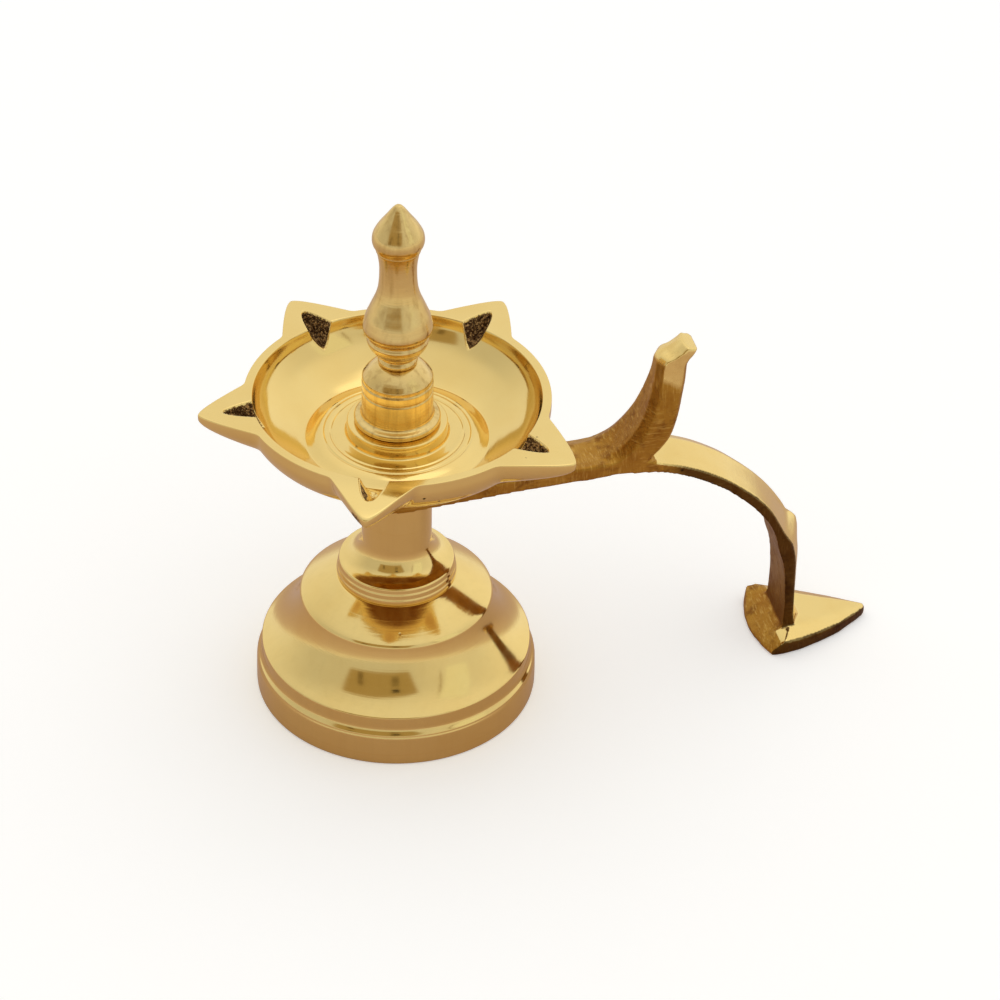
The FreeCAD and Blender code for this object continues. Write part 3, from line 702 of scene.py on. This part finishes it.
def turned_brass(name, base=BRASS, rough=0.10, ring=1.0, pits=1.0, deep=0.35, worn=0.05):
    """Lathe-turned brass: concentric tool lines, faint stains, worn streaks, tiny pits."""
    n = Nodes(name)
    lathe = n.lathe()
    fine = n.noise(lathe, 5200.0, 2.0, 0.6)
    broad = n.noise(lathe, 900.0, 3.0, 0.6)
    stain = n.noise(n.place, 46.0, 5.0, 0.62)
    smear = n.noise(n.scaled((60, 60, 420)), 1.0, 4.0, 0.65)
    speck = n.add("TexVoronoi", {"Vector": n.place, "Scale": 330.0}, feature="F1")["Distance"]
    rare = n.noise(n.place, 150.0, 2.0, 0.5)
    pit = n.math("MULTIPLY", n.ramp(speck, 0.13, 0.05), n.ramp(rare, 0.63, 0.68))
    pit = n.math("MULTIPLY", pit, pits)
    tone = n.mix(n.ramp(stain, 0.42, 0.75, 0.0, deep), base, DEEP)
    tone = n.mix(n.ramp(broad, 0.60, 0.80, 0.0, 0.25), tone, DEEP)
    streak = n.noise(n.scaled((700, 700, 50)), 1.0, 3.0, 0.6)
    tone = n.mix(n.ramp(streak, 0.48, 0.72, 0.0, worn), tone, (0.44, 0.27, 0.08, 1))
    tone = n.mix(pit, tone, (0.16, 0.08, 0.02, 1))
    n.link(tone, "Base Color")
    gloss = n.math("ADD", n.ramp(smear, 0.3, 0.75, rough * 0.75, rough * 1.45),
                   n.ramp(fine, 0.5, 0.8, 0.0, 0.06 * ring))
    n.link(n.math("MAXIMUM", gloss, n.math("MULTIPLY", pit, 0.8)), "Roughness")
    normal = n.bump(fine, 0.055 * ring, 0.00006)
    normal = n.bump(broad, 0.14 * ring, 0.00012, normal)
    normal = n.bump(n.noise(n.place, 130.0, 2.0, 0.5), 0.05, 0.0004, normal)
    normal = n.bump(pit, 0.6, -0.0001, normal)
    n.link(normal, "Normal")
    n.shader.inputs["Metallic"].default_value = 1.0
    return n.material


def bowl_brass(name):
    """The bowl's polished brass, with burnt, pitted wick pockets."""
    n = Nodes(name)
    lathe = n.lathe()
    fine = n.noise(lathe, 4200.0, 2.0, 0.6)
    stain = n.noise(n.place, 50.0, 5.0, 0.62)
    smear = n.noise(n.scaled((90, 90, 90)), 1.0, 4.0, 0.65)
    crumbs = n.noise(n.place, 1500.0, 4.0, 0.75)
    grains = n.add("TexVoronoi", {"Vector": n.place, "Scale": 2100.0},
                   feature="F1")["Distance"]
    burnt = n.math("ADD", n.read("soot"), n.ramp(crumbs, 0.35, 0.65, -0.35, 0.30))
    burnt = n.ramp(burnt, 0.42, 0.56)
    speck = n.add("TexVoronoi", {"Vector": n.place, "Scale": 260.0}, feature="F1")["Distance"]
    rare = n.noise(n.place, 120.0, 2.0, 0.5)
    chance = n.math("ADD", n.ramp(rare, 0.56, 0.66), n.math("MULTIPLY", n.read("holed"), 0.9))
    pit = n.math("MULTIPLY", n.ramp(speck, 0.11, 0.05), n.math("GREATER_THAN", chance, 0.95))
    tone = n.mix(n.ramp(stain, 0.42, 0.75, 0.0, 0.30), BRASS, DEEP)
    # Painted shade: the underside towards the stem turns dark brown, mottled by the smear noise.
    skin = n.math("MULTIPLY", n.read("underside_painted_shade"), n.ramp(smear, 0.3, 0.6, 0.7, 1.0))
    tone = n.mix(skin, tone, (0.24, 0.095, 0.014, 1))
    tone = n.mix(pit, tone, (0.05, 0.025, 0.01, 1))
    glint = n.mix(n.ramp(crumbs, 0.48, 0.60), SOOT, (0.62, 0.40, 0.17, 1))
    n.link(n.mix(burnt, tone, glint), "Base Color")
    gloss = n.math("ADD", n.ramp(smear, 0.3, 0.75, 0.07, 0.13), n.ramp(fine, 0.5, 0.8, 0.0, 0.04))
    gloss = n.math("MAXIMUM", gloss, n.math("MULTIPLY", skin, 0.34))
    gloss = n.math("MAXIMUM", gloss, n.math("MULTIPLY", burnt, 0.62))
    n.link(n.math("MAXIMUM", gloss, n.math("MULTIPLY", pit, 0.8)), "Roughness")
    normal = n.bump(fine, 0.04, 0.00006)
    normal = n.bump(n.noise(n.place, 110.0, 2.0, 0.5), 0.05, 0.0004, normal)
    normal = n.bump(n.math("MULTIPLY", n.math("ADD", grains, crumbs), burnt), 0.9, 0.0004, normal)
    normal = n.bump(pit, 0.6, -0.0001, normal)
    n.link(normal, "Normal")
    n.shader.inputs["Metallic"].default_value = 1.0
    return n.material


def filed_brass(name):
    """The handle's casting: file marks and brown patina, bright where it was polished."""
    n = Nodes(name)
    polish = n.read("polish")
    warp = n.noise(n.place, 90.0, 2.0, 0.5)
    cast = n.noise(n.place, 260.0, 5.0, 0.7)
    patch = n.noise(n.place, 75.0, 4.0, 0.65)
    across = n.noise(n.scaled((2600, 500, 260)), 1.0, 2.0, 0.6)
    along = n.noise(n.scaled((300, 400, 2400)), 1.0, 2.0, 0.6)
    files = n.add("Mix", {0: n.ramp(warp, 0.45, 0.55), 2: across, 3: along},
                  data_type="FLOAT")[0]
    fade = n.math("ADD", polish, n.ramp(cast, 0.3, 0.7, -0.12, 0.12))
    bright = n.ramp(fade, 0.25, 0.75)
    dull = n.mix(n.ramp(patch, 0.35, 0.62), (0.34, 0.145, 0.018, 1), (0.52, 0.28, 0.045, 1))
    dull = n.mix(n.ramp(cast, 0.52, 0.72, 0.0, 0.85), dull, TARNISH)
    dull = n.mix(n.ramp(files, 0.52, 0.74, 0.0, 0.55), dull, (0.74, 0.48, 0.13, 1))
    shine = n.mix(n.ramp(patch, 0.4, 0.7, 0.0, 0.35), BRASS, DEEP)
    tone = n.mix(bright, dull, shine)
    # Painted shade on the handle's -y faces and inside the post: a near-black brown, slightly
    # mottled.
    painted_side_shade = n.math("MULTIPLY", n.read("painted_side_shade"), n.ramp(cast, 0.25, 0.65, 1.0, 0.72))
    tone = n.mix(painted_side_shade, tone, (0.045, 0.015, 0.005, 1))
    # Painted shade of the three small holes, near black.
    tone = n.mix(n.read("hole"), tone, (0.02, 0.008, 0.003, 1))
    n.link(tone, "Base Color")
    dull_gloss = n.ramp(cast, 0.3, 0.7, 0.34, 0.52)
    shine_gloss = n.ramp(files, 0.35, 0.7, 0.11, 0.22)
    gloss = n.add("Mix", {0: bright, 2: dull_gloss, 3: shine_gloss}, data_type="FLOAT")[0]
    n.link(gloss, "Roughness")
    strength = n.ramp(bright, 0.0, 1.0, 0.55, 0.10)
    normal = n.bump(files, strength, 0.00022)
    normal = n.bump(cast, strength, 0.00045, normal)
    n.link(normal, "Normal")
    n.shader.inputs["Metallic"].default_value = 1.0
    return n.material


def steel(name):
    """Zinc-plated steel with faint streaks."""
    n = Nodes(name)
    streak = n.noise(n.scaled((300, 300, 1500)), 1.0, 3.0, 0.6)
    blotch = n.noise(n.place, 400.0, 4.0, 0.6)
    n.link(n.mix(n.ramp(blotch, 0.4, 0.7), (0.60, 0.60, 0.58, 1), (0.42, 0.41, 0.38, 1)),
           "Base Color")
    n.link(n.ramp(streak, 0.3, 0.7, 0.24, 0.40), "Roughness")
    n.link(n.bump(streak, 0.15, 0.0001), "Normal")
    n.shader.inputs["Metallic"].default_value = 1.0
    return n.material


brass_turned = turned_brass("brass_turned", pits=0.3)
brass_knob = turned_brass("brass_knob", base=(0.80, 0.60, 0.25, 1), rough=0.17, ring=2.2, pits=0.5,
                          deep=0.6, worn=0.5)
brass_bowl = bowl_brass("brass_bowl")
brass_filed = filed_brass("brass_filed")
zinc_steel = steel("zinc_steel")

dressed = [
    (foot, "foot", "lamp", "turned_brass", brass_turned),
    (stem, "stem", "lamp", "turned_brass", brass_turned),
    (handle, "handle", "lamp", "filed_brass", brass_filed),
    (bowl, "oil_bowl", "lamp", "bowl_brass", brass_bowl),
    (collar, "hub_collar", "collar", "turned_brass", brass_knob),
    (finial, "finial", "finial", "turned_brass", brass_knob),
    (rod, "tie_rod", "lamp", "fastener_steel", zinc_steel),
    (washer, "foot_washer", "lamp", "fastener_steel", zinc_steel),
    (nut, "foot_nut", "lamp", "fastener_steel", zinc_steel),
]
for piece, node, body, slot, material in dressed:
    piece.data.materials.clear()
    piece.data.materials.append(material)
    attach(piece, body)
    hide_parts(node)


# ---------------------------------------------------------------- studio

def glow(name, color, half_width, half_height, blur):
    """A lit surface for a staged card that fades out towards its edges."""
    material = bpy.data.materials.new(name)
    material.use_nodes = True
    tree = material.node_tree
    tree.nodes.clear()

    def step(kind, inputs, **settings):
        node = tree.nodes.new("ShaderNode" + kind)
        for key, value in settings.items():
            setattr(node, key, value)
        for key, value in inputs.items():
            if isinstance(value, bpy.types.NodeSocket):
                tree.links.new(value, node.inputs[key])
            else:
                node.inputs[key].default_value = value
        return node.outputs

    part = step("SeparateXYZ", {0: step("TexCoord", {})["Object"]})
    fades = []
    for axis, half in ((0, half_width), (1, half_height)):
        out = step("Math", {0: part[axis]}, operation="ABSOLUTE")[0]
        fades.append(step("MapRange", {"Value": out, "From Min": half * (1 - blur),
                                       "From Max": half, "To Min": 1.0, "To Max": 0.0},
                          interpolation_type="SMOOTHSTEP")["Result"])
    solid = step("Math", {0: fades[0], 1: fades[1]}, operation="MULTIPLY")[0]
    light = step("Emission", {"Color": (*color, 1), "Strength": 1.0})[0]
    clear = step("BsdfTransparent", {})[0]
    both = step("MixShader", {0: solid, 1: clear, 2: light})[0]
    step("OutputMaterial", {"Surface": both})
    return material


def card(name, centre, facing, width, height, material, up=(0, 0, 1)):
    """A staged card that only shows in reflections."""
    mesh = bpy.data.meshes.new(name)
    w, h = width / 2, height / 2
    mesh.from_pydata([(-w, -h, 0), (w, -h, 0), (w, h, 0), (-w, h, 0)], [], [(0, 1, 2, 3)])
    obj = bpy.data.objects.new(name, mesh)
    bpy.context.scene.collection.objects.link(obj)
    z = Vector(facing).normalized()
    x = Vector(up).cross(z).normalized()
    y = z.cross(x)
    obj.matrix_world = Matrix.Translation(Vector(centre)) @ Matrix((x, y, z)).transposed().to_4x4()
    obj.data.materials.append(material)
    obj.visible_camera = False
    obj.visible_diffuse = False
    obj.visible_shadow = False
    return obj


SENSOR_WIDTH, LENS = 36.0, 136.7  # millimetres
ROLL = 1.489  # degrees
target = Vector((0.02106, -0.00532, 0.04823))
eye = Vector((-0.1356, -0.6259, 0.5281))
back = (eye - target).normalized()
flat = Vector((back.x, back.y, 0)).normalized()
right = Vector((-flat.y, flat.x, 0))

floor_mesh = bpy.data.meshes.new("floor")
floor_mesh.from_pydata([(-6, -6, 0), (6, -6, 0), (6, 6, 0), (-6, 6, 0)], [], [(0, 1, 2, 3)])
floor = bpy.data.objects.new("floor", floor_mesh)
bpy.context.scene.collection.objects.link(floor)
paper = bpy.data.materials.new("paper")
paper.use_nodes = True
paper_shader = paper.node_tree.nodes["Principled BSDF"]
for socket, value in (
    ("Base Color", (0.93, 0.93, 0.93, 1)),
    ("Roughness", 1.0),
    ("Specular IOR Level", 0.0),
    ("Emission Color", (1, 1, 1, 1)),
    ("Emission Strength", 0.26),
):
    paper_shader.inputs[socket].default_value = value
floor.data.materials.append(paper)
floor.visible_glossy = False
floor.visible_diffuse = False
floor.visible_shadow = False

# The floor that the brass mirrors, with painted shade: a darker, warmer sheet near the lamp that
# pales further away.
cloth_mesh = floor_mesh.copy()
cloth = bpy.data.objects.new("floor_mirrored", cloth_mesh)
bpy.context.scene.collection.objects.link(cloth)
cloth.location.z = -0.0004
n = Nodes("cloth")
part = n.add("SeparateXYZ", {"Vector": n.place})
far = n.math("SQRT", n.math("ADD", n.math("MULTIPLY", part[0], part[0]),
                            n.math("MULTIPLY", part[1], part[1])))
# Painted shade: the mirrored floor is darker and pinker near the lamp, paling to near white by 0.55
# m.
n.link(n.mix(n.ramp(far, 0.07, 0.55), (0.66, 0.50, 0.44, 1), (0.97, 0.92, 0.86, 1)), "Base Color")
n.shader.inputs["Roughness"].default_value = 1.0
n.shader.inputs["Specular IOR Level"].default_value = 0.0
cloth_mesh.materials.clear()
cloth_mesh.materials.append(n.material)
cloth.visible_camera = False


def aimed(turn, rise):
    """The direction at an angle to the right of the camera and above level."""
    a, e = math.radians(turn), math.radians(rise)
    return ((flat * math.cos(a) + right * math.sin(a)) * math.cos(e)
            + Vector((0, 0, 1)) * math.sin(e))


def panel(name, turn, rise, away, width, height, color, blur):
    """A card seen from the lamp in that direction."""
    d = aimed(turn, rise)
    card(name, target + d * away, -d, width, height, glow(name, color, width / 2, height / 2, blur))


panel("camera_hole", 0, 36.9, 0.83, 0.12, 0.10, (0.010, 0.006, 0.003), 0.6)
panel("front_opening", -15, 30, 1.0, 1.22, 0.70, (0.40, 0.30, 0.15), 0.16)
panel("camera_stand", 0, 24, 0.94, 0.15, 0.30, (0.22, 0.16, 0.07), 0.6)
panel("front_dark", -34, 22, 0.96, 0.10, 0.38, (0.20, 0.14, 0.06), 0.5)
panel("right_panel", 62, 30, 1.0, 0.46, 0.86, (0.84, 0.86, 0.80), 0.25)
panel("right_edge", 45, 30, 0.98, 0.045, 0.8, (0.34, 0.27, 0.16), 0.8)
panel("top_light", 150, 74, 1.1, 0.65, 0.65, (1.35, 1.33, 1.28), 0.5)

world = bpy.data.worlds.new("tent")
bpy.context.scene.world = world
world.use_nodes = True
tree = world.node_tree
place = tree.nodes.new("ShaderNodeTexCoord").outputs["Generated"]


def facing(direction):
    """How nearly each part of the tent lies in a direction, from -1 to 1."""
    dot = tree.nodes.new("ShaderNodeVectorMath")
    dot.operation = "DOT_PRODUCT"
    tree.links.new(place, dot.inputs[0])
    dot.inputs[1].default_value = direction
    return dot.outputs["Value"]


def shade(value, low, high, start, end):
    step = tree.nodes.new("ShaderNodeMapRange")
    step.interpolation_type = "SMOOTHSTEP"
    tree.links.new(value, step.inputs["Value"])
    for key, number in zip(("From Min", "From Max", "To Min", "To Max"),
                           (low, high, start, end)):
        step.inputs[key].default_value = number
    return step.outputs["Result"]


def total(a, b):
    plus = tree.nodes.new("ShaderNodeMath")
    plus.operation = "ADD"
    tree.links.new(a, plus.inputs[0])
    tree.links.new(b, plus.inputs[1])
    return plus.outputs[0]


level = total(shade(facing(-flat), -0.2, 0.9, 0.62, 0.90),
              shade(facing(right), 0.0, 0.9, 0.0, 0.14))
level = total(level, shade(facing((0, 0, 1)), 0.5, 1.0, 0.0, 0.22))
tree.links.new(level, tree.nodes["Background"].inputs["Strength"])
tree.nodes["Background"].inputs["Color"].default_value = (1.0, 0.985, 0.95, 1)

camera_data = bpy.data.cameras.new("camera")
camera_data.sensor_width = SENSOR_WIDTH
camera_data.lens = LENS
camera = bpy.data.objects.new("camera", camera_data)
bpy.context.scene.collection.objects.link(camera)
level_up = back.cross(right)
roll = math.radians(ROLL)
side_axis = right * math.cos(roll) + level_up * math.sin(roll)
up_axis = level_up * math.cos(roll) - right * math.sin(roll)
turned_to = Matrix((side_axis, up_axis, back)).transposed().to_4x4()
camera.matrix_world = Matrix.Translation(eye) @ turned_to
bpy.context.scene.camera = camera
bpy.context.scene.view_settings.view_transform = "Standard"
